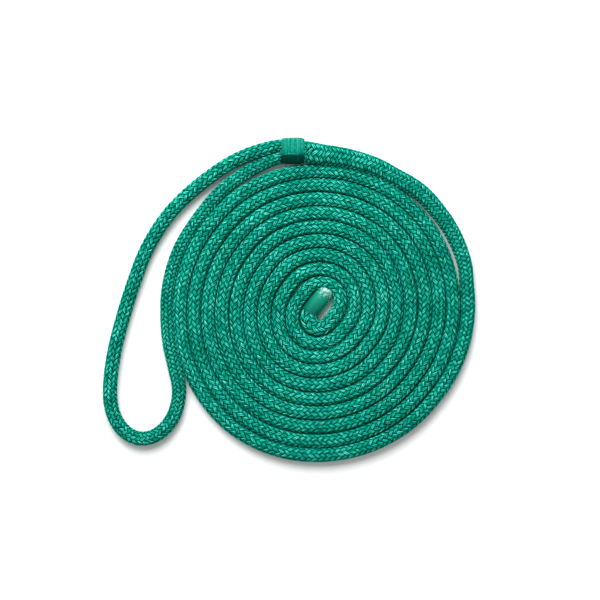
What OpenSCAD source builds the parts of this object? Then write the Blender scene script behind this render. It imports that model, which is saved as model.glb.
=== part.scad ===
// Double-braid dock line, laid down as a flat spiral coil with its spliced eye beside it.
// Lengths in millimetres. +Z is up, and the line lies on z = 0.

/* [Rope] */
// Diameter of the line
rope_d = 12.7; // [12.2:0.1:12.8]
// Thickness of the woven cover
cover_t = 1.7; // [1.2:0.1:2.2]
// Clearance between the cover and the core
core_gap = 0.1; // [0.05:0.05:0.2]

/* [Coil] */
// Spacing of neighbouring turns, pressed together a little
pitch = 12; // [12:0.1:12.3]
// Half turns in the coil, not counting the last part turn
half_turns = 19; // [15:2:19]
// Bend radius of the half turn next to the bitter end
first_r = 9.1; // [8.8:0.1:9.4]
// Bend radius that the other half turns grow from
inner_r = 10.9; // [10.6:0.1:11.2]
// Straight run between the first two half turns
run_first = 11.2; // [10:0.1:12]
// How much shorter each straight run is than the one before
run_step = 0.24; // [0.1:0.02:0.3]
// Angle of the last part turn, which hands over to the throat
last_angle = 45; // [40:1:50]
// Turn of the coil's long axis about +Z
coil_turn = -38; // [-42:1:-34]

/* [Bitter end] */
// Straight length of rope inside the end sleeve
tail_l = 20.5; // [18:0.5:21]
// Wall of the clear end sleeve
sleeve_t = 0.4; // [0.3:0.05:0.5]

/* [Whipping] */
// Diameter of the whipping twine
twine_d = 1; // [0.8:0.1:1]
// Turns of twine
twine_turns = 18; // [12:1:18]
// Half width of the whipping across the two legs, to the middle of the twine
whip_half_w = 10.9; // [10.8:0.1:11.2]

/* [Hidden] */
$fn = 48;

rope_r = rope_d / 2;
press_gap = 0.1;                  // free space left between pressed turns
core_r = rope_r - cover_t - core_gap;
cover_in_r = rope_r - cover_t;
fit_gap = 0.05;                   // space between the sleeve and the rope shrunk inside it
tail_r = rope_r - sleeve_t - fit_gap;
coil_at = [26.3, -15.4];          // centre of the even half turns
sides = 12;                       // facets round a swept tube

// Half turn i of the coil: radius, centre, and the straight run that follows it.
function turn_r(i) = i == 0 ? first_r : inner_r + i * pitch / 2;
function run_l(i) = run_first - i * run_step;
function turn_x(i) = i == 0 ? inner_r - first_r : (i % 2 == 0 ? 0 : -pitch / 2);
function turn_y(i) = i % 2 == 0 ? i / 2 * run_step : (i - 1) / 2 * run_step + run_l(i - 1);
function tail_x() = inner_r - 2 * first_r;

// Where the coil hands over to the throat: place, and the direction it runs in.
function to_row(p) = [
    coil_at.x + p.x * cos(coil_turn) - p.y * sin(coil_turn),
    coil_at.y + p.x * sin(coil_turn) + p.y * cos(coil_turn),
];
handover = to_row([
    turn_x(half_turns) + turn_r(half_turns) * cos(last_angle),
    turn_y(half_turns) + turn_r(half_turns) * sin(last_angle),
]);
handover_dir = coil_turn + last_angle + 90;

// Routes, each point [x, y, radius of the rope there]. The rope rests on z = 0.
throat_route = [
    [148.5, 32.5, 6.6],
    [138, 58, 7.1],
    [119.5, 84, 7.6],
    [106.8, 96.4, 7.7],
    [92, 105.5, 7.9],
    [73, 115, 8.2],
    [52.5, 121.2, 8.6],
    [34, 124.2, 9.1],
    [19, 125.4, 9.4],
    [11, 125.6, 8.9],
    [3.6, 125.6, 7.6],
];
eye_route = [
    [3.6, 130.8, 5.1],
    [-7, 130.6, 5.3],
    [-18, 127.8, 6.1],
    [-35, 122, 6.35],
    [-52, 113.6, 6.35],
    [-71, 100.3, 6.35],
    [-90, 84, 6.35],
    [-106, 65.5, 6.35],
    [-120, 42, 6.35],
    [-130, 16.5, 6.35],
    [-138.5, -10, 6.35],
    [-147, -43, 6.35],
    [-150.8, -72, 6.35],
    [-149.5, -92, 6.35],
    [-143, -106.5, 6.35],
    [-132.5, -115.5, 6.35],
    [-120.5, -117.5, 6.35],
    [-108.5, -112.5, 6.35],
    [-98.5, -101, 6.35],
    [-93.5, -87, 6.35],
    [-93, -74, 6.35],
    [-97, -58, 6.35],
    [-102.2, -38, 6.1],
    [-104.2, -16, 6],
    [-103.6, 6, 6],
    [-99, 28, 6],
    [-91, 49, 6],
    [-79.5, 68.5, 6.1],
    [-65.5, 86, 6.2],
    [-50, 100.5, 6.2],
    [-33, 111.5, 6.1],
    [-18, 117.5, 5.7],
    [-7, 119.9, 5.3],
    [3.6, 120.4, 5.1],
];
whip_from = -5.5;                 // first and last place of the whipping along X
whip_to = 13;
whip_y = 125.6;                   // middle of the whipping across the legs
whip_low = 6.6;                   // its half height over the legs, and over the neck
whip_high = 10;
thread_sides = 24;                // facets round the twine
stitch_at = [16.5, 19.5];         // the two turns of locking twine along X
stitch_y = 125.2;                 // middle of the neck there, and its half width
stitch_neck_r = 9.7;
neck_to = 25;                     // the twine underneath lifts the rope from the legs to here
twine_lift = 1.1;
green = [0.07, 0.51, 0.42];
pale_green = [0.55, 0.8, 0.72];

function unit(v) = v / norm(v);
function lift(p) = p.y > 100 && p.x > whip_from - 2 && p.x < neck_to ? twine_lift : 0;
function centre(p) = [p.x, p.y, p[2] + lift(p)];

// Direction at point i of a route: along the chord between its two neighbours.
function heading(route, i) =
    let (a = centre(route[max(i - 1, 0)]), b = centre(route[min(i + 1, len(route) - 1)]))
    unit([b.x - a.x, b.y - a.y, 0]);

// One ring of a swept tube: a regular polygon about a route point, upright to its heading.
function ring(at, dir, r) = [
    for (k = [0:sides - 1])
        let (a = 360 * k / sides)
        at + r * cos(a) * [-dir.y, dir.x, 0] + r * sin(a) * [0, 0, 1]
];

// A swept tube, from lists of rings: the outer skin, and the bore if there is one.
module swept(outer, bore = []) {
    n = len(outer);
    m = n * sides;
    function quad(a, b, c, d) = [[a, b, c], [a, c, d]];
    skin = [
        for (i = [0:n - 2]) for (k = [0:sides - 1])
            let (a = i * sides + k, b = i * sides + (k + 1) % sides)
            each quad(a, b, b + sides, a + sides)
    ];
    inside = [
        for (i = [0:n - 2]) for (k = [0:sides - 1])
            let (a = m + i * sides + k, b = m + i * sides + (k + 1) % sides)
            each quad(a, a + sides, b + sides, b)
    ];
    annuli = [
        for (k = [0:sides - 1])
            let (j = (k + 1) % sides, e = (n - 1) * sides)
            each concat(quad(k, m + k, m + j, j), quad(e + j, m + e + j, m + e + k, e + k))
    ];
    caps = [
        [for (k = [sides - 1:-1:0]) k],
        [for (k = [0:sides - 1]) (n - 1) * sides + k],
    ];
    if (len(bore) > 0)
        polyhedron([for (r = concat(outer, bore)) each r], concat(skin, inside, annuli));
    else
        polyhedron([for (r = outer) each r], concat(skin, caps));
}

// Rings along the eye at a distance inside the rope's own surface.
function eye_rings(inset) = [
    for (i = [0:len(eye_route) - 1])
        ring(centre(eye_route[i]), heading(eye_route, i), eye_route[i][2] - inset)
];

// The throat starts square on the coil's end, and then follows its own route.
throat_full = concat([[handover.x, handover.y, rope_r]], throat_route);
throat_last = len(throat_full) - 1;
function throat_dir(i) =
    i == 0 ? [cos(handover_dir), sin(handover_dir), 0] : heading(throat_full, i);

// Rings along the throat from point `from` on, with a radius and a shift to the left for each.
function throat_rings(radii, shifts = [], from = 0) = [
    for (i = [from:throat_last])
        let (d = throat_dir(i), shift = len(shifts) > 0 ? shifts[i] : 0)
        ring(centre(throat_full[i]) + shift * [-d.y, d.x, 0], d, radii[i])
];

// Inside the cover, the core lies beside its own buried tail; the cover's tail is in its bore.
skin_r = [
    for (i = [0:throat_last]) i == 0 ? (pitch - press_gap) / 2 : throat_full[i][2]
];
room_r = [for (r = skin_r) r - cover_t - core_gap];
tail_end_r = 0.9;                 // a buried tail's thin end, and its growth at each route point
cover_tail_grows = 0.3;
core_tail_grows = 0.2;
core_wall = 1.5;                  // core left round the cover's tail
core_tail_from = 3;               // route point where the core's tail ends
core_tail_r = [
    for (i = [0:throat_last])
        i < core_tail_from ? 0 : tail_end_r + core_tail_grows * (i - core_tail_from)
];
throat_core_r = [
    for (i = [0:throat_last]) room_r[i] - (i < core_tail_from ? 0 : core_tail_r[i] + core_gap)
];
cover_tail_r = [
    for (i = [0:throat_last]) min(tail_end_r + cover_tail_grows * i, throat_core_r[i] - core_wall)
];
core_shift = [for (i = [0:throat_last]) room_r[i] - throat_core_r[i]];
core_tail_shift = [for (i = [0:throat_last]) core_tail_r[i] - room_r[i]];

// Cross-section of the line in the coil, flat where the turns press together.
module rope_section(inset = 0) {
    intersection() {
        circle(r = rope_r - inset);
        square([pitch - press_gap - 2 * inset, rope_d], center = true);
    }
}

module cover_section() {
    difference() {
        rope_section();
        circle(r = cover_in_r);
    }
}

module core_section() {
    circle(r = core_r);
}

// Every bend and straight run of the coil, with the given cross-section.
module coil_path() {
    translate([coil_at.x, coil_at.y, rope_r])
        rotate([0, 0, coil_turn]) {
            for (i = [0:half_turns - 1]) {
                x_after = turn_x(i) + (i % 2 == 0 ? 1 : -1) * turn_r(i);
                translate([turn_x(i), turn_y(i), 0])
                    rotate([0, 0, i % 2 == 0 ? 180 : 0])
                        rotate_extrude(angle = 180)
                            translate([turn_r(i), 0])
                                children();
                translate([x_after, min(turn_y(i), turn_y(i + 1)), 0])
                    rotate([90, 0, 180])
                        linear_extrude(height = run_l(i))
                            children();
            }
            translate([turn_x(half_turns), turn_y(half_turns), 0])
                rotate_extrude(angle = last_angle)
                    translate([turn_r(half_turns), 0])
                        children();
        }
}

// Places a shape that is drawn along +Z on the straight bitter end, from its root outwards.
module on_tail() {
    translate([coil_at.x, coil_at.y, rope_r])
        rotate([0, 0, coil_turn])
            translate([tail_x(), 0, 0])
                rotate([-90, 0, 0])
                    children();
}

// Woven outer cover of the coiled part, from the bitter end to the throat.
module coil_cover() {
    color(green) {
        coil_path() cover_section();
        on_tail()
            difference() {
                cylinder(r = tail_r, h = tail_l);
                translate([0, 0, -1])
                    cylinder(r = cover_in_r, h = tail_l + 2);
            }
    }
}

// Braided core inside the coiled part.
module coil_core() {
    color(pale_green) {
        coil_path() core_section();
        on_tail() cylinder(r = core_r, h = tail_l);
    }
}

// Clear shrink sleeve over the bitter end, drawn in past the tip.
module end_sleeve() {
    mouth = 1;
    neck = tail_l + 2;
    tip = tail_l + 4.2;
    tip_r = rope_r - 3.2;
    shoulder_r = rope_r - 1.6;
    shoulder = tip - 0.6;
    color("lightcyan", 0.5)
        on_tail()
            rotate_extrude()
                polygon([
                    [rope_r - sleeve_t, mouth], [rope_r, mouth], [rope_r, neck],
                    [shoulder_r, shoulder], [tip_r, tip], [tip_r, tip - sleeve_t],
                    [shoulder_r - sleeve_t, shoulder - sleeve_t / 2], [rope_r - sleeve_t, neck],
                ]);
}

// Cover and core melted together across the rope's cut end.
module sealed_tip() {
    tip_r = tail_r - 0.1;
    dome = 2.6;
    color(green)
        on_tail()
            translate([0, 0, tail_l])
                rotate_extrude()
                    polygon([
                        [0, 0], [tip_r, 0], [tip_r, 0.35 * dome],
                        [0.86 * tip_r, 0.7 * dome], [0.53 * tip_r, 0.92 * dome], [0, dome],
                    ]);
}

// Cover of the standing part, swollen over the tails buried in the splice.
module throat_cover() {
    color(green)
        swept(throat_rings(skin_r), throat_rings([for (r = skin_r) r - cover_t]));
}

// Core of the standing part, opened out round the cover's buried tail.
module throat_core() {
    color(pale_green)
        swept(
            throat_rings(throat_core_r, core_shift),
            throat_rings([for (r = cover_tail_r) r + core_gap], core_shift)
        );
}

// End of the eye's cover, tapered and buried inside the standing part's core.
module buried_cover_tail() {
    color(green) swept(throat_rings(cover_tail_r, core_shift));
}

// End of the eye's core, tapered and buried beside the standing part's core.
module buried_core_tail() {
    color(pale_green) swept(throat_rings(core_tail_r, core_tail_shift, core_tail_from));
}

// Cover of the eye, from one side of the whipping round to the other.
module eye_cover() {
    color(green) swept(eye_rings(0), eye_rings(cover_t));
}

// Core of the eye.
module eye_core() {
    color(pale_green) swept(eye_rings(cover_t + core_gap));
}

// One oval turn of twine, upright across the rope.
module twine_turn(half_w, half_h) {
    for (side = [-1, 1])
        translate([side * (half_w - half_h), 0, 0])
            rotate([0, 0, -side * 90])
                rotate_extrude(angle = 180)
                    translate([half_h, 0])
                        circle(d = twine_d, $fn = thread_sides);
    for (side = [-1, 1])
        translate([half_h - half_w, side * half_h, 0])
            rotate([0, 90, 0])
                cylinder(d = twine_d, h = 2 * (half_w - half_h), $fn = thread_sides);
}

// Twine wound round both legs of the eye and the neck of the throat.
module whipping() {
    color(green)
        for (i = [0:twine_turns - 1]) {
            along = i / (twine_turns - 1);
            half_h = whip_low + along * (whip_high - whip_low);
            translate([whip_from + along * (whip_to - whip_from), whip_y, half_h + twine_d / 2])
                rotate([90, 0, 90])
                    twine_turn(whip_half_w, half_h);
        }
}

// Locking twine drawn tight round the neck, just beyond the whipping.
module lock_stitches() {
    stitch_d = 0.8 * twine_d;
    loop_r = stitch_neck_r + stitch_d / 2;
    off_floor = 0.1;
    color(green)
        for (x = stitch_at)
            translate([x, stitch_y, loop_r + stitch_d / 2 + off_floor])
                rotate([90, 0, 90])
                    rotate_extrude()
                        translate([loop_r, 0])
                            circle(d = stitch_d, $fn = thread_sides);
}

coil_cover();
coil_core();
end_sleeve();
sealed_tip();
throat_cover();
throat_core();
buried_cover_tail();
buried_core_tail();
eye_cover();
eye_core();
whipping();
lock_stitches();
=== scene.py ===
"""Coiled dock line: braided cover, spliced throat and eye, whipping, sleeved bitter end, studio."""
import math

import bpy
import numpy as np
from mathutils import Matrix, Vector


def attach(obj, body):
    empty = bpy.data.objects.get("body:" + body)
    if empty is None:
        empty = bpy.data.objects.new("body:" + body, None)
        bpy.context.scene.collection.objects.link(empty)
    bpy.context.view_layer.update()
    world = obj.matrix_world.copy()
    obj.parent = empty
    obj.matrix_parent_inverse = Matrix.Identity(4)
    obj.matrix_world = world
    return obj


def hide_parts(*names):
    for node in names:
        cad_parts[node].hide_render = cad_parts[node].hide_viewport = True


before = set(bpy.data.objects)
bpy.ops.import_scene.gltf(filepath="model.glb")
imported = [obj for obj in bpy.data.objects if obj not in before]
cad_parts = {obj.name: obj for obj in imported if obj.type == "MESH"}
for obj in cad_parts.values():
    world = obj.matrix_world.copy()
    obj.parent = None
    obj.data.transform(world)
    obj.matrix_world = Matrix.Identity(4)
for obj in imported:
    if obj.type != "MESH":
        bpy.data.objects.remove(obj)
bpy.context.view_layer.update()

# ---------------------------------------------------------------- driving sizes, in metres
# The coil's sizes and place are those of part.scad, rounded from a fit of this spiral to the
# grooves measured in the photo.
ROPE_R = 0.00635
PITCH = 0.012                     # spacing of neighbouring turns
PRESS = 0.0006                    # how far each turn reaches past the middle to its neighbour
SQUASH = 0.0004                   # how much wider it is low down, where it is squashed
GROOVE = 0.0011                   # how much narrower it is high up, on each side
SQUARE = 0.9                      # section of pressed rope: 1 is an oval, and less is boxier
LAST_TURN = 0.84                  # length of the last turn, which has no neighbour outside
HALF_TURNS = 19
FIRST_R = 0.0091                  # bend beside the bitter end
INNER_R = 0.0109                  # bend that the other half turns grow from
RUN_FIRST = 0.0112                # straight run between the first two half turns
RUN_STEP = 0.00024
LAST_ANGLE = math.radians(45)
COIL_TURN = math.radians(-38)
TAIL_ACROSS = np.array([math.cos(COIL_TURN), math.sin(COIL_TURN)])   # across the bitter end
TAIL_OUT = np.array([-TAIL_ACROSS[1], TAIL_ACROSS[0]])   # along it, towards its tip
COIL_AT = np.array([0.0263, -0.0154])
TAIL_L = 0.0205                   # straight rope inside the end sleeve
STEP = 0.0015                     # spacing of the points along every line

# The coil was laid by hand, so it bulges here and there: how far outwards from the spiral, as
# the mean and then the cosine and sine parts of 1 to 4 waves round LAID_MIDDLE. The mean and the
# waves come from a least-squares fit, by a scratch script, to the grooves measured in the photo.
LAID_MIDDLE = np.array([0.0251, -0.008])
LAID_MEAN = 0.00006
LAID_WAVES = [(-0.0013, 0.00068), (0.00014, -0.00018), (0.0006, -0.00004), (-0.00039, -0.00027)]
END_SLIDE = -0.0021               # the bitter end and its bend slid across, against the next turn
TAIL_SIDE = INNER_R - 2 * FIRST_R + END_SLIDE   # where the bitter end is, across from COIL_AT

STRANDS = 10                      # strands of the braid that run each way, an even number
PICK = 0.0052                     # spacing of the stitches along free rope
PICK_BESIDE_THROAT = 0.0043       # and where the cover is bunched up by the splice
PICK_IN_THROAT = 0.0036
PICK_AFTER_EYE = 0.004
RELIEF = 0.0014                   # depth of the braid, from crest to pit
FINE = 0.0001                     # air between the pieces inside the throat

WHIP_FROM, WHIP_TO, WHIP_Y = -0.0055, 0.013, 0.1256
WHIP_HALF_W = 0.0115              # half width of the whipping, over the twine
NECK_Y = 0.1254                   # middle of the neck where the lock stitches are
THREAD_R = 0.00053                # radius of the whipping twine
TWINE_LIFT = 0.0011               # how far the twine lifts the rope that it is wound round
EYE_LEAN = 0.0015                 # how far the eye's inner leg leans across to the coil
EYE_DROP = 0.0029                 # how far it comes down to the coil, near the whipping
THROAT_LEAN = 0.0024              # how far the neck leans on the coil in y; up to half in x
HIDDEN = 0.0019                   # from the surface of the cover to the core inside it
CORE_R = ROPE_R - HIDDEN
SLEEVE_WIDE = 1.13                # width of the sleeve, over its height
PINCH_FROM = 0.017                # distance along the bitter end where the film turns milky

# Routes in millimetres, (x, y, radius of the rope), as in part.scad.
THROAT_ROUTE = [
    (148.5, 32.5, 6.6), (138, 58, 7.1), (119.5, 84, 7.6), (106.8, 96.4, 7.7), (92, 105.5, 7.9),
    (73, 115, 8.2), (52.5, 121.2, 8.6), (34, 124.2, 9.1), (19, 125.4, 9.4), (11, 125.6, 8.9),
    (3.6, 125.6, 7.6),
]
EYE_ROUTE = [
    (3.6, 130.8, 5.1), (-7, 130.6, 5.3), (-18, 127.8, 6.1), (-35, 122, 6.35),
    (-52, 113.6, 6.35), (-71, 100.3, 6.35), (-90, 84, 6.35), (-106, 65.5, 6.35),
    (-120, 42, 6.35), (-130, 16.5, 6.35), (-138.5, -10, 6.35), (-147, -43, 6.35),
    (-150.8, -72, 6.35), (-149.5, -92, 6.35), (-143, -106.5, 6.35), (-132.5, -115.5, 6.35),
    (-120.5, -117.5, 6.35), (-108.5, -112.5, 6.35), (-98.5, -101, 6.35), (-93.5, -87, 6.35),
    (-93, -74, 6.35), (-97, -58, 6.35), (-102.2, -38, 6.1), (-104.2, -16, 6),
    (-103.6, 6, 6), (-99, 28, 6), (-91, 49, 6), (-79.5, 68.5, 6.1), (-65.5, 86, 6.2),
    (-50, 100.5, 6.2), (-33, 111.5, 6.1), (-18, 117.5, 5.7), (-7, 119.9, 5.3),
    (3.6, 120.4, 5.1),
]


# ---------------------------------------------------------------- camera
VIEW_WIDTH = 0.5076               # width of the picture, at the rope's centreline
CAMERA_H = 1.6


def make_camera():
    cam = bpy.data.cameras.new("camera")
    cam.sensor_width = 36
    cam.lens = cam.sensor_width * (CAMERA_H - ROPE_R) / VIEW_WIDTH
    obj = bpy.data.objects.new("camera", cam)
    obj.location = (0.0099, -0.0004, CAMERA_H)
    bpy.context.scene.collection.objects.link(obj)
    bpy.context.scene.camera = obj


# ---------------------------------------------------------------- lines
def turn_r(i):
    return FIRST_R if i == 0 else INNER_R + i * PITCH / 2


def run_l(i):
    return RUN_FIRST - i * RUN_STEP


def turn_centre(i):
    """Centre of half turn i, in the coil's own axes."""
    if i == 0:
        return np.array([INNER_R - FIRST_R, 0])
    if i % 2 == 0:
        return np.array([0, i / 2 * RUN_STEP])
    return np.array([-PITCH / 2, (i - 1) / 2 * RUN_STEP + run_l(i - 1)])


def arc(centre, radius, start, sweep):
    n = max(8, int(radius * sweep / STEP))
    a = start + sweep * np.arange(n) / n
    return np.column_stack([centre[0] + radius * np.cos(a), centre[1] + radius * np.sin(a)])


def coil_line():
    """Centreline of the coiled part, from the bitter end to the throat, as (x, y) rows."""
    tail_x = INNER_R - 2 * FIRST_R
    parts = [np.column_stack([np.full(14, tail_x), np.linspace(TAIL_L, 0.0015, 14)])]
    for i in range(HALF_TURNS):
        parts.append(arc(turn_centre(i), turn_r(i), math.pi if i % 2 == 0 else 0, math.pi))
        side = 1 if i % 2 == 0 else -1
        start = turn_centre(i) + [side * turn_r(i), 0]
        n = max(2, int(run_l(i) / STEP))
        parts.append(start + np.outer(np.arange(n) / n, [0, side * run_l(i)]))
    parts.append(arc(turn_centre(HALF_TURNS), turn_r(HALF_TURNS), 0, LAST_ANGLE))
    end = turn_centre(HALF_TURNS) + turn_r(HALF_TURNS) * np.array(
        [math.cos(LAST_ANGLE), math.sin(LAST_ANGLE)]
    )
    parts.append(end[None, :])
    p = np.concatenate(parts)
    c, s = math.cos(COIL_TURN), math.sin(COIL_TURN)
    return COIL_AT + np.column_stack([p[:, 0] * c - p[:, 1] * s, p[:, 0] * s + p[:, 1] * c])


def hand_laid(line):
    """Shifts the turns of the coil outwards or inwards, fading out at both ends of the line."""
    s = distance_along(line)
    away = line - LAID_MIDDLE
    r = np.hypot(*away.T)
    angle = np.arctan2(away[:, 1], away[:, 0])
    shift = LAID_MEAN + sum(
        a * np.cos(n * angle) + b * np.sin(n * angle) for n, (a, b) in enumerate(LAID_WAVES, 1)
    )
    grow = smoothstep((r - 0.012) / 0.03) * smoothstep((s[-1] - s) / 0.12)
    slide = END_SLIDE * (1 - smoothstep((s - 0.062) / 0.03))
    line = line + away / r[:, None] * (shift * grow)[:, None] + slide[:, None] * TAIL_ACROSS
    return spaced(line, STEP)


def smoothstep(x):
    x = np.clip(x, 0, 1)
    return x * x * (3 - 2 * x)


def hump(s, middle, width):
    return np.exp(-(((s - middle) / width) ** 2))


def smooth(points):
    """Catmull-Rom curve through rows of any width, evenly resampled."""
    p = np.array(points, float)
    p = np.vstack([2 * p[0] - p[1], p, 2 * p[-1] - p[-2]])
    out = []
    for a, b, c, d in zip(p, p[1:], p[2:], p[3:]):
        for t in np.arange(0, 1, 0.05):
            out.append(
                0.5 * (2 * b + (c - a) * t + (2 * a - 5 * b + 4 * c - d) * t**2
                       + (3 * b - a - 3 * c + d) * t**3)
            )
    out.append(p[-2])
    return spaced(np.array(out), STEP)


def distance_along(line):
    """Distance in plan from the start of a line to each of its rows."""
    steps = np.linalg.norm(np.diff(line[:, :2], axis=0), axis=1)
    return np.concatenate([[0], np.cumsum(steps)])


def spaced(line, step):
    s = distance_along(line)
    at = np.linspace(0, s[-1], max(2, int(round(s[-1] / step)) + 1))
    return np.column_stack([np.interp(at, s, line[:, k]) for k in range(line.shape[1])])


def laid(points):
    """Rows (x, y, radius) as (x, y, z), resting on the floor, lifted where the twine is under."""
    x, y, r = points.T
    under = (y > 0.1) * np.clip((x + 0.012) / 0.005, 0, 1) * np.clip((0.03 - x) / 0.008, 0, 1)
    return np.column_stack([x, y, r + TWINE_LIFT * under])


# ---------------------------------------------------------------- meshes
def new_object(name, verts, faces, smooth_shade=True):
    mesh = bpy.data.meshes.new(name)
    mesh.from_pydata([tuple(v) for v in verts], [], [tuple(f) for f in faces])
    mesh.update()
    if smooth_shade:
        mesh.polygons.foreach_set("use_smooth", [True] * len(mesh.polygons))
    obj = bpy.data.objects.new(name, mesh)
    bpy.context.scene.collection.objects.link(obj)
    return obj


def frames(line):
    """Tangent, left-hand normal and upward normal at every row of a line that lies nearly flat."""
    t = np.gradient(line, axis=0)
    t /= np.linalg.norm(t, axis=1)[:, None]
    left = np.cross([0, 0, 1], t)
    left /= np.linalg.norm(left, axis=1)[:, None]
    return t, left, np.cross(t, left)


def braid_height(u, v):
    """Height of a two-over, two-under braid at strand coordinates u, v: 0 in pits, 1 on crests."""
    total = 0
    blur = 0.1
    for du in (-blur, blur):
        for dv in (-blur, blur):
            i, j = np.floor(u + du), np.floor(v + dv)
            fu, fv = u + du - i - 0.5, v + dv - j - 0.5
            k = np.mod(i + j, 4)
            across = np.where(k < 2, fu, fv)
            along = np.where(k < 2, fv, fu) + 0.5 + np.mod(k, 2)
            crown = 1 - 0.85 * np.abs(2 * across) ** 2.7
            total = total + crown * np.sin(math.pi * along / 2) ** 0.5
    return total / 4


def bulge(wave, power):
    """A cosine or sine made flatter at its ends, for a section between an oval and a box."""
    return np.sign(wave) * np.abs(wave) ** power


def even_angles(square):
    """Angles of a section's parameter against even steps of the distance round it, 0 to 1."""
    phi = np.linspace(0, 2 * math.pi, 721)
    steps = np.hypot(np.diff(bulge(np.cos(phi), square)), np.diff(bulge(np.sin(phi), square)))
    round_it = np.concatenate([[0], np.cumsum(steps)])
    return round_it / round_it[-1], phi


def braid(name, line, half_w, half_h, pick, sides=None, flare=(0, 0), square=1.0,
          before=(0, 0), detail=3):
    """A braided tube round a line. Its faces follow the strands, `detail` of them to a crossing.

    `pick` is the spacing of the stitches, at each row of the line. `sides` is how far the tube
    may reach to its right and left, where neighbours press on it, and `flare` how much wider it
    is on those sides low down, where it is squashed against them. A `square` below 1 makes its
    section boxier. `before` is (turns of the strands, length) in the rope ahead of this line, so
    that the strands carry on. Returns the object, and the same pair for a line that starts at
    the last row but one.

    The UV map follows the strand that is on top: u is its number plus the place across it, and
    v runs along it, from 0 to 2 (plus a multiple of 4) where it is on top.
    """
    s = distance_along(line)
    lead = STRANDS * pick
    psi = np.concatenate([[0], np.cumsum(np.diff(s) * 2 / (lead[1:] + lead[:-1]))])
    ring = STRANDS * detail
    rows = int(psi[-1] * 2 * ring / (2 * detail)) * 2 * detail
    first_row = int(round(before[0] * 2 * ring))
    at = np.interp(np.arange(rows + 1) * psi[-1] / rows, psi, s)

    def at_rows(values):
        return np.interp(at, s, values)

    _, left, up = frames(line)
    centre = np.column_stack([at_rows(c) for c in line.T])
    left = np.column_stack([at_rows(c) for c in left.T])
    up = np.column_stack([at_rows(c) for c in up.T])
    w, h = at_rows(half_w), at_rows(half_h)

    b = first_row + np.arange(rows + 1)[:, None]
    a = (b % 2) + 2 * np.arange(ring)[None, :]
    height = braid_height((a - b) / (2 * detail), (a + b) / (2 * detail))
    wander = 0.08 * np.sin((at + before[1]) / 0.21)[:, None]
    phi = np.interp(np.mod(a / (2 * ring) + wander, 1), *even_angles(square))
    sink = RELIEF * (1 - height)
    upper = smoothstep((np.sin(phi) + 0.3) / 0.4)
    low = np.where(np.cos(phi) < 0, at_rows(flare[0] + 0 * s)[:, None], flare[1]) * (1 - upper)
    x = (w[:, None] + low - (0.4 + 0.6 * upper) * sink) * bulge(np.cos(phi), square)
    if sides is not None:
        right, left_side = (at_rows(side)[:, None] + low - GROOVE * upper for side in sides)
        x = np.clip(x, -right, left_side)
    z = (h[:, None] - sink) * bulge(np.sin(phi), square)
    verts = centre[:, None, :] + x[..., None] * left[:, None, :] + z[..., None] * up[:, None, :]

    k = np.arange(ring)[None, :]
    mid = np.arange(1, rows)[:, None]
    odd = (first_row + mid) % 2
    other = (k + odd) % ring
    faces = np.stack(
        [
            (mid - 1) * ring + other,
            mid * ring + (k + 1) % ring,
            (mid + 1) * ring + other,
            mid * ring + k + 0 * mid,
        ],
        axis=-1,
    ).reshape(-1, 4)

    # strand coordinates of each face's corners, in the family that is on top there
    row = first_row + mid
    a0 = odd + 2 * k
    cu = np.stack([a0 - row + 2, a0 - row + 2, a0 - row, a0 - row], -1) / (2 * detail)
    cv = np.stack([a0 + row, a0 + row + 2, a0 + row + 2, a0 + row], -1) / (2 * detail)
    i, j = np.floor(cu.mean(-1, keepdims=True)), np.floor(cv.mean(-1, keepdims=True))
    first = np.mod(i + j, 4) < 2
    across = np.where(first, cu - i + np.mod(i, STRANDS), cv - j + np.mod(j, STRANDS) + STRANDS)
    along = np.where(first, cv + np.mod(i, 2 * STRANDS), cu + np.mod(j, 2 * STRANDS) + 2)
    uv = np.stack([across, along], -1).reshape(-1, 2)

    ends, caps = [], []
    n = (rows + 1) * ring
    for row, inner in ((0, 1), (rows, rows - 1)):
        hub = n + len(ends)
        ends.append(centre[row])
        for q in range(ring):
            outer = row * ring + (q + (first_row + inner) % 2) % ring
            rim = (inner * ring + q, outer, inner * ring + (q + 1) % ring)
            for one, two in zip(rim, rim[1:]):
                caps.append((hub, two, one) if row == 0 else (hub, one, two))
    obj = new_object(name, np.vstack([verts.reshape(-1, 3), ends]), faces.tolist() + caps)
    layer = obj.data.uv_layers.new(name="strand")
    loops = np.zeros((len(obj.data.loops), 2))
    loops[: len(uv)] = uv
    layer.data.foreach_set("uv", loops.ravel())
    return obj, (before[0] + (rows - 1) / (2 * ring), before[1] + at[-2])


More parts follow.
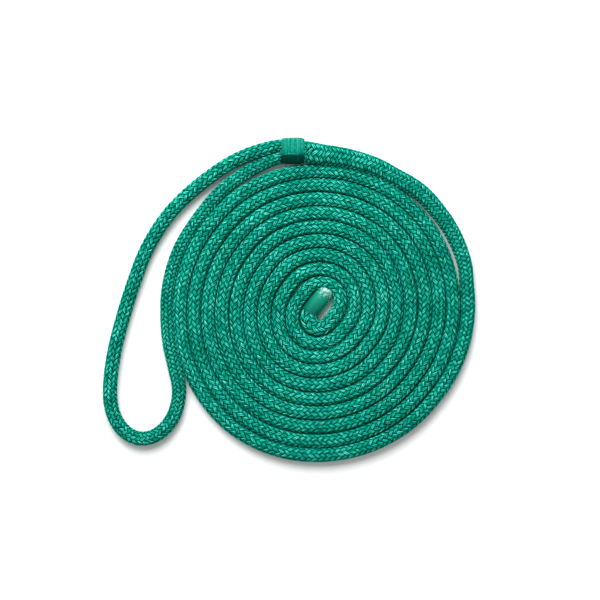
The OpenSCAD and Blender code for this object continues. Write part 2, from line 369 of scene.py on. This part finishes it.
def tube(name, line, radius, sides=8, bore=None):
    """A round rod along (x, y, z) rows; its radius, and the bore's if any, is one or per row."""
    t = np.gradient(line, axis=0)
    t /= np.linalg.norm(t, axis=1)[:, None]
    normal = np.cross(t[0], [0.3, 0.2, 0.9])
    normals = []
    for direction in t:
        normal = normal - direction * np.dot(normal, direction)
        normal /= np.linalg.norm(normal)
        normals.append(normal)
    normals = np.array(normals)
    binormals = np.cross(t, normals)
    phi = 2 * math.pi * np.arange(sides) / sides
    ring = normals[:, None] * np.cos(phi)[:, None] + binormals[:, None] * np.sin(phi)[:, None]

    def skin(r):
        r = np.broadcast_to(r, (len(line),))[:, None, None]
        return (line[:, None] + r * ring).reshape(-1, 3)

    corners = [(k, (k + 1) % sides) for k in range(sides)]
    last = (len(line) - 1) * sides
    faces = [
        (i + k, i + k2, i + sides + k2, i + sides + k)
        for i in range(0, last, sides) for k, k2 in corners
    ]
    if bore is None:
        faces += [tuple(range(sides - 1, -1, -1)), tuple(last + k for k in range(sides))]
        return new_object(name, skin(radius), faces)
    inner = last + sides
    faces += [tuple(inner + k for k in reversed(face)) for face in faces]
    faces += [(k2, k, inner + k, inner + k2) for k, k2 in corners]
    faces += [(last + k, last + k2, inner + last + k2, inner + last + k) for k, k2 in corners]
    return new_object(name, np.vstack([skin(radius), skin(bore)]), faces)


# ---------------------------------------------------------------- materials
YARNS = 4.5                       # streaks of fibre across one strand; their bright peaks are painted highlights
# Colours of the cover along its tone: the near black is painted shade in the pits where strands
# dive under, and the pale mint at the top is painted highlight on crests and fibres
NYLON_TONES = [
    (0.1, (0.0, 0.003, 0.002)), (0.3, (0.0, 0.1, 0.066)), (0.56, (0.0, 0.225, 0.15)),
    (0.79, (0.004, 0.42, 0.3)), (0.98, (0.15, 0.85, 0.7)),
]


def new_material(name):
    mat = bpy.data.materials.new(name)
    mat.use_nodes = True
    return mat, mat.node_tree, mat.node_tree.nodes["Principled BSDF"]


def node(tree, kind, **settings):
    n = tree.nodes.new(kind)
    for key, value in settings.items():
        setattr(n, key, value)
    return n


def math_node(tree, operation, a, b=None):
    n = node(tree, "ShaderNodeMath", operation=operation)
    for k, value in enumerate((a, b)):
        if value is None:
            continue
        if hasattr(value, "is_output"):
            tree.links.new(value, n.inputs[k])
        else:
            n.inputs[k].default_value = value
    return n.outputs[0]


def ramp(tree, source, stops):
    n = node(tree, "ShaderNodeValToRGB")
    tree.links.new(source, n.inputs[0])
    while len(n.color_ramp.elements) < len(stops):
        n.color_ramp.elements.new(0.5)
    for element, (place, colour) in zip(n.color_ramp.elements, stops):
        element.position = place
        element.color = (*colour, 1)
    return n.outputs[0]


def position(tree):
    return node(tree, "ShaderNodeNewGeometry").outputs["Position"]


def parts_of(tree, vector):
    """The x, y and z outputs of a vector output."""
    n = node(tree, "ShaderNodeSeparateXYZ")
    tree.links.new(vector, n.inputs[0])
    return n.outputs


def noise(tree, vector, scale, detail=0.0, flat=False):
    n = node(tree, "ShaderNodeTexNoise", noise_dimensions="2D" if flat else "3D")
    n.inputs["Scale"].default_value = scale
    n.inputs["Detail"].default_value = detail
    tree.links.new(vector, n.inputs["Vector"])
    return n.outputs[0]


def pair(tree, a, b):
    n = node(tree, "ShaderNodeCombineXYZ")
    tree.links.new(a, n.inputs[0])
    tree.links.new(b, n.inputs[1])
    return n.outputs[0]


def bump(tree, shader, height, strength, distance):
    n = node(tree, "ShaderNodeBump")
    n.inputs["Strength"].default_value = strength
    n.inputs["Distance"].default_value = distance
    tree.links.new(height, n.inputs["Height"])
    tree.links.new(n.outputs[0], shader.inputs["Normal"])


def braided_nylon():
    """Dyed filament nylon: plump strands of two yarns, with painted shade where they dive under and
    painted highlights on their crests.
    """
    mat, tree, shader = new_material("cover_nylon")

    def m(operation, a, b=None):
        return math_node(tree, operation, a, b)

    def off_middle(value):
        """How far a value is from the middle of its whole step: 0 there, and 1 at its ends."""
        return m("ABSOLUTE", m("SUBTRACT", m("MULTIPLY", m("FRACT", value), 2.0), 1.0))

    uv = node(tree, "ShaderNodeUVMap", uv_map="strand")
    across, along, _ = parts_of(tree, uv.outputs[0])
    edge = off_middle(across)
    yarn = off_middle(m("MULTIPLY", across, 2.0))
    # Shape of each float, full on its crest and falling at its edges, its ends and the split
    # between its two yarns; it bumps the surface and also sets the painted shade and highlight
    crown = m("SUBTRACT", 1.0, m("MULTIPLY", m("POWER", edge, 5.0), 0.8))
    crown = m("SUBTRACT", crown, m("MULTIPLY", m("POWER", yarn, 1.5), 0.5))
    on_top = m("FLOORED_MODULO", along, 4.0)
    rise = m("POWER", m("MAXIMUM", m("SINE", m("MULTIPLY", on_top, math.pi / 2)), 0.0), 0.35)
    pillow = m("MULTIPLY", crown, rise)

    fibres = noise(tree, pair(tree, m("MULTIPLY", across, YARNS), m("MULTIPLY", along, 0.8)), 1.0,
                   detail=1.0, flat=True)
    stitch = node(tree, "ShaderNodeTexWhiteNoise", noise_dimensions="2D")
    number = pair(tree, m("FLOOR", across), m("FLOOR", m("DIVIDE", along, 4.0)))
    tree.links.new(number, stitch.inputs["Vector"])
    patches = noise(tree, position(tree), 40.0)

    # Painted shade and highlight: darkest in the pits where strands dive under and in the split
    # between the yarns, lightest on the crests and fibre flecks
    tone = m("ADD", m("MULTIPLY", pillow, 0.69), m("SUBTRACT", fibres, 0.5))
    tone = m("ADD", tone, m("MULTIPLY", stitch.outputs[0], 0.16))
    tone = m("ADD", tone, m("MULTIPLY", patches, 0.12))
    tree.links.new(ramp(tree, tone, NYLON_TONES), shader.inputs["Base Color"])
    shader.inputs["Roughness"].default_value = 0.5
    # No gloss of its own: its highlights are painted into the base colour
    shader.inputs["Specular IOR Level"].default_value = 0.0
    bump(tree, shader, m("ADD", pillow, m("MULTIPLY", fibres, 0.8)), 1.0, 0.001)
    return mat


def twine():
    """Smooth bright twine, lighter or darker from turn to turn, in shade on the near side."""
    mat, tree, shader = new_material("whipping_twine")

    def m(operation, a, b):
        return math_node(tree, operation, a, b)

    where = position(tree)
    x, y, _ = parts_of(tree, where)
    turns = node(tree, "ShaderNodeTexNoise", noise_dimensions="1D")
    turns.inputs["Scale"].default_value = 0.9 / THREAD_R
    turns.inputs["Detail"].default_value = 0.0
    tree.links.new(x, turns.inputs["W"])
    tone = m("ADD", m("MULTIPLY", turns.outputs[0], 0.65),
             m("MULTIPLY", noise(tree, where, 900.0), 0.35))
    shade = m("MULTIPLY", m("SUBTRACT", y, WHIP_Y - 0.003), 160.0)
    tone = m("ADD", tone, m("MAXIMUM", m("MINIMUM", shade, 0.0), -0.38))
    colour = ramp(tree, tone, [
        (0.0, (0.0, 0.03, 0.02)), (0.28, (0.0, 0.09, 0.06)),
        (0.5, (0.0, 0.22, 0.15)), (0.7, (0.02, 0.45, 0.34)),
    ])
    tree.links.new(colour, shader.inputs["Base Color"])
    shader.inputs["Roughness"].default_value = 0.4
    shader.inputs["Specular IOR Level"].default_value = 0.12
    shader.inputs["Specular Tint"].default_value = (0.6, 1.0, 0.9, 1)
    return mat


def core_nylon():
    """Pale braided core."""
    mat, tree, shader = new_material("core_nylon")
    weave = noise(tree, position(tree), 500.0, detail=2.0)
    colour = ramp(tree, weave, [(0.3, (0.16, 0.4, 0.31)), (0.7, (0.4, 0.65, 0.55))])
    tree.links.new(colour, shader.inputs["Base Color"])
    shader.inputs["Roughness"].default_value = 0.55
    bump(tree, shader, weave, 0.6, 0.0003)
    return mat


def clear_film():
    """Clear film drawn tight on the green rope, milky and creased where it is pinched."""
    mat, tree, shader = new_material("clear_film")

    def m(operation, a, b):
        return math_node(tree, operation, a, b)

    uv = node(tree, "ShaderNodeUVMap", uv_map="along")
    _, along, _ = parts_of(tree, uv.outputs[0])
    creases = noise(tree, position(tree), 420.0, detail=1.0)
    pinched = m("MULTIPLY", m("SUBTRACT", along, PINCH_FROM), 130.0)
    milky = m("ADD", pinched, m("MULTIPLY", m("SUBTRACT", creases, 0.5), 3.5))
    colour = ramp(tree, milky, [(0.1, (0.0, 0.29, 0.19)), (1.0, (0.5, 0.75, 0.67))])
    tree.links.new(colour, shader.inputs["Base Color"])
    shader.inputs["Alpha"].default_value = 0.7
    shader.inputs["Roughness"].default_value = 0.22
    shader.inputs["Specular IOR Level"].default_value = 0.35
    bump(tree, shader, creases, 0.5, 0.0005)
    return mat


def melted_nylon():
    """Fused end of the rope, in pale and dark swirls."""
    mat, tree, shader = new_material("melted_nylon")
    swirl = noise(tree, position(tree), 260.0, detail=2.0)
    colour = ramp(tree, swirl, [(0.35, (0.03, 0.3, 0.22)), (0.65, (0.4, 0.72, 0.63))])
    tree.links.new(colour, shader.inputs["Base Color"])
    shader.inputs["Roughness"].default_value = 0.3
    return mat


def floor_material():
    mat, _, shader = new_material("floor")
    shader.inputs["Base Color"].default_value = (0.94, 0.94, 0.94, 1)
    shader.inputs["Roughness"].default_value = 0.9
    shader.inputs["Emission Color"].default_value = (1, 1, 1, 1)
    shader.inputs["Emission Strength"].default_value = 0.03
    return mat


# ---------------------------------------------------------------- pieces
def finish_piece(obj, mat, slot, *nodes):
    obj.data.materials.append(mat)
    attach(obj, "root")
    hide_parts(*nodes)
    return obj


def make_coil(mat, core_mat):
    """The coiled part, and the core inside it. Returns its line, and where its braid stops."""
    flat = hand_laid(coil_line())
    line = np.column_stack([flat, np.full(len(flat), ROPE_R)])
    s = distance_along(line)
    in_sleeve = np.clip(1 - (s - 0.019) / 0.004, 0, 1)
    half = ROPE_R - 0.0006 * in_sleeve
    spread = 0.0018 * hump(s, 0.031, 0.012)   # flattened in its tightest bend
    press = PITCH / 2 + PRESS + spread
    bunched = smoothstep(1 - (s[-1] - s) / 0.3)
    pick = PICK + (PICK_BESIDE_THROAT - PICK) * bunched
    outside = press + 2 * GROOVE * smoothstep((s - s[-1] + LAST_TURN) / 0.05)
    outer_flare = SQUASH + 0.0018 * hump(s, 0.058, 0.02)   # fills the slit beside the second bend
    obj, state = braid(
        "coiled_rope", line, half + spread, half, pick, (outside, press), (outer_flare, SQUASH),
        square=SQUARE,
    )
    finish_piece(obj, mat, "cover", "coil_cover")
    finish_piece(tube("coiled_core", line[1:], CORE_R, 10), core_mat, "core", "coil_core")
    return flat, state


def make_throat(mat, core_mat, tail_mat, coil, state):
    """The swollen neck of the splice, from the coil to the whipping, and what is inside it.

    `state` is what the coil's braid returned; the throat's braid starts from there.
    """
    lead_in = [(*coil[-k], ROPE_R) for k in (14, 1)]
    route = smooth(lead_in + [tuple(np.array(p) / 1000) for p in THROAT_ROUTE])
    start = int(np.argmin(np.hypot(*(route[:, :2] - coil[-1]).T)))
    route = route[start:]
    route[0, :2] = [np.interp(state[1], distance_along(coil), coil[:, k]) for k in (0, 1)]
    r = np.maximum(route[:, 2], ROPE_R)
    line = laid(np.column_stack([route[:, :2], r]))
    x = line[:, 0]
    towards_x = -0.5 * smoothstep((x - 0.07) / 0.03) * smoothstep((0.135 - x) / 0.03)
    towards_y = -smoothstep((x - 0.006) / 0.024) * smoothstep((0.13 - x) / 0.045)
    line[:, :2] += THROAT_LEAN * np.column_stack([towards_x, towards_y])
    s = distance_along(line)
    press = PITCH / 2 + PRESS + 0.004 * smoothstep(s / 0.04)
    pick = PICK_BESIDE_THROAT + (PICK_IN_THROAT - PICK_BESIDE_THROAT) * smoothstep(s / 0.05)
    obj, _ = braid("throat", line, r, r, pick, sides=(press + 2 * GROOVE, press), square=SQUARE,
                   before=state)
    finish_piece(obj, mat, "cover", "throat_cover")

    _, left, _ = frames(line)
    far = s / s[-1]
    room = r - HIDDEN
    beside = far > 0.25               # where the core's tail lies beside the standing core
    core_tail = np.where(beside, 0.0007 + 0.0018 * far, 0)
    core_r = room - core_tail - FINE
    cover_tail = np.minimum(0.0009 + 0.0033 * far, core_r - 0.0015)
    axis = line + left * (room - core_r)[:, None]
    core = tube("throat_core_braid", axis, core_r, 16, bore=cover_tail + FINE)
    finish_piece(core, core_mat, "core", "throat_core")
    tail = tube("buried_cover_end", axis, cover_tail, 12)
    finish_piece(tail, tail_mat, "cover", "buried_cover_tail")
    tail_line = (line - left * (room - core_tail)[:, None])[beside]
    tail = tube("buried_core_end", tail_line, core_tail[beside], 12)
    finish_piece(tail, core_mat, "core", "buried_core_tail")


def make_eye(mat, core_mat):
    """The loop from the whipping and back to it, and the core inside it."""
    route = smooth([tuple(np.array(p) / 1000) for p in EYE_ROUTE])
    line = laid(route)
    s = distance_along(line)
    line[:, 0] += EYE_LEAN * smoothstep((s - 0.38) / 0.05) * smoothstep((0.6 - s) / 0.05)
    line[:, 1] -= EYE_DROP * smoothstep((s - 0.5) / 0.05) * smoothstep((0.645 - s) / 0.04)
    pick = PICK + (PICK_AFTER_EYE - PICK) * smoothstep((s - 0.25) / 0.06)
    obj, _ = braid("eye", line, route[:, 2], route[:, 2], pick, detail=4)
    finish_piece(obj, mat, "cover", "eye_cover")
    core = tube("eye_core_braid", line, route[:, 2] - HIDDEN, 10)
    finish_piece(core, core_mat, "core", "eye_core")


def whipping_half(along):
    """Half width and half height of the wound twine, for places 0 to 1 along the whipping."""
    end = np.abs(2 * along - 1)
    return WHIP_HALF_W - THREAD_R - 0.0012 * end**5, 0.0074 + along * 0.0031 - 0.0012 * end**6


def whipping_dip(y):
    """How much lower the twine lies over the inner leg, y from the middle of the whipping."""
    return 0.0018 * np.clip((-y - 0.0015) / 0.009, 0, 1) ** 0.8


def make_whipping(mat):
    """One thread wound side by side from the legs on to the neck, with its end tucked over."""
    per_turn = 60
    past = 0.0005                     # how far it runs past the CAD turns, at each end
    length = WHIP_TO - WHIP_FROM + 2 * past
    n = int(length / (2 * THREAD_R)) * per_turn
    along = np.arange(n + 1) / n
    phi = 2 * math.pi * np.arange(n + 1) / per_turn + math.pi / 2
    half_w, half_h = whipping_half(along)
    y = half_w * bulge(np.cos(phi), SQUARE)
    base = whipping_half(0.5 + 0.4 * (2 * along - 1))[1] + THREAD_R
    z = base + half_h * bulge(np.sin(phi), SQUARE) - whipping_dip(y) * np.maximum(np.sin(phi), 0)
    line = np.column_stack([WHIP_FROM - past + along * length, WHIP_Y + y, z])
    obj = tube("whipping_thread", line, THREAD_R, 6)
    finish_piece(obj, mat, "twine", "whipping")

    points = [
        (-0.0100, 0.1160, 0.0097), (-0.0088, 0.1176, 0.0118), (-0.0066, 0.1198, 0.0138),
        (-0.0040, 0.1216, 0.0158), (0.0005, 0.1222, 0.0172), (0.0045, 0.1222, 0.0182),
        (0.0078, 0.1218, 0.0188),
    ]
    end = tube("whipping_end", smooth(points), THREAD_R * 1.05, 8)
    finish_piece(end, mat, "twine", "whipping")


def make_stitches(mat):
    """Short stitches sunk into the neck beside the whipping."""
    top = 0.0204                      # height of a stitch on the crown of the neck
    marks = [
        ((0.0138, 0.1300), (0.0185, 0.1262)), ((0.0138, 0.1256), (0.0190, 0.1290)),
        ((0.0140, 0.1222), (0.0182, 0.1243)), ((0.0186, 0.1232), (0.0204, 0.1268)),
    ]
    for number, (a, b) in enumerate(marks, 1):
        t = np.linspace(0, 1, 15)
        x = a[0] + (b[0] - a[0]) * t
        y = a[1] + (b[1] - a[1]) * t
        z = top - (y - NECK_Y) ** 2 / 0.02 - 0.0026 * np.abs(2 * t - 1) ** 4
        obj = tube(f"lock_stitch_{number}", np.column_stack([x, y, z]), 0.0005, 8)
        finish_piece(obj, mat, "twine", "lock_stitches")


def on_tail(profile, name, wide=1.0, sides=48):
    """A turned shape about the straight bitter end; profile rows are (radius, distance).

    `wide` stretches it sideways. In its UV map, v is the distance along the end.
    """
    across = np.array([*TAIL_ACROSS, 0])
    out = np.array([*TAIL_OUT, 0])
    root = np.array([*COIL_AT, ROPE_R]) + across * TAIL_SIDE
    phi = 2 * math.pi * np.arange(sides) / sides
    verts = [
        root + out * d + r * (wide * across * math.cos(a) + np.array([0, 0, 1]) * math.sin(a))
        for r, d in profile for a in phi
    ]
    faces = [
        (i * sides + k, (i + 1) * sides + k,
         (i + 1) * sides + (k + 1) % sides, i * sides + (k + 1) % sides)
        for i in range(len(profile) - 1) for k in range(sides)
    ]
    obj = new_object(name, verts, faces)
    layer = obj.data.uv_layers.new(name="along")
    for loop, spot in zip(obj.data.loops, layer.data):
        spot.uv = (0, profile[loop.vertex_index // sides][1])
    return obj


def make_sleeve(mat):
    """The shrink film drawn in over the melted tip, and the fold pinched along its side."""
    mouth, neck, tip = -0.002, TAIL_L + 0.0012, TAIL_L + 0.0042
    outer, inner = ROPE_R, ROPE_R - 0.0004
    profile = [
        (inner, mouth), (outer, mouth), (outer, neck), (outer - 0.0009, neck + 0.0014),
        (outer - 0.0024, tip - 0.0004), (outer - 0.0036, tip), (outer - 0.0037, tip - 0.0004),
        (inner - 0.0022, tip - 0.0008), (inner - 0.0008, neck + 0.0011), (inner, neck),
        (inner, mouth),
    ]
    obj = on_tail(profile, "end_sleeve_film", wide=SLEEVE_WIDE)
    finish_piece(obj, mat, "clear_sleeve", "end_sleeve")

    fold_r = 0.0006
    d = np.linspace(mouth + 0.001, TAIL_L - 0.002, 12)[:, None]
    side = TAIL_SIDE + SLEEVE_WIDE * outer + fold_r + 0.0002
    xy = COIL_AT + TAIL_ACROSS * side + d * TAIL_OUT
    fold = tube("end_sleeve_fold", np.column_stack([xy, np.full(12, ROPE_R)]), fold_r, 8)
    finish_piece(fold, mat, "clear_sleeve", "end_sleeve")
    return [obj, fold]


def make_tip(mat):
    """The rounded end of fused nylon inside the sleeve."""
    r = ROPE_R - 0.0007
    almost_0 = 0.00001
    profile = [
        (almost_0, TAIL_L), (r, TAIL_L), (r, TAIL_L + 0.0007), (r - 0.0005, TAIL_L + 0.0014),
        (r - 0.0018, TAIL_L + 0.0021), (r - 0.0036, TAIL_L + 0.0025), (almost_0, TAIL_L + 0.0026),
    ]
    return finish_piece(on_tail(profile, "melted_tip"), mat, "melted_end", "sealed_tip")


# ---------------------------------------------------------------- studio
def make_floor():
    half = 3.0
    verts = [(-half, -half, 0), (half, -half, 0), (half, half, 0), (-half, half, 0)]
    floor = new_object("floor", verts, [(0, 1, 2, 3)], smooth_shade=False)
    floor.location.z = -0.0002        # just clear of the rope's lowest faces
    floor.data.materials.append(floor_material())


def square_light(name, location, size, power):
    """A soft light that faces the origin."""
    light = bpy.data.lights.new(name, "AREA")
    light.shape = "SQUARE"
    light.size = size
    light.energy = power
    obj = bpy.data.objects.new(name, light)
    obj.location = location
    obj.rotation_mode = "QUATERNION"
    obj.rotation_quaternion = (-Vector(location)).to_track_quat("-Z", "Y")
    bpy.context.scene.collection.objects.link(obj)


def make_studio():
    make_floor()
    square_light("key", (-0.3, 1.1, 1.2), 1.3, 50)
    world = bpy.data.worlds.new("studio")
    world.use_nodes = True
    sky = world.node_tree.nodes["Background"]
    sky.inputs["Color"].default_value = (1, 1, 1, 1)
    sky.inputs["Strength"].default_value = 0.42
    bpy.context.scene.world = world
    bpy.context.scene.view_settings.view_transform = "Standard"


# ---------------------------------------------------------------- assembly
make_camera()
cover = braided_nylon()
on_end = make_sleeve(clear_film()) + [make_tip(melted_nylon())]
core = core_nylon()
coil, coil_end = make_coil(cover, core)
thread = twine()
make_throat(cover, core, thread, coil, coil_end)
make_eye(cover, core)
make_whipping(thread)
make_stitches(thread)
make_studio()
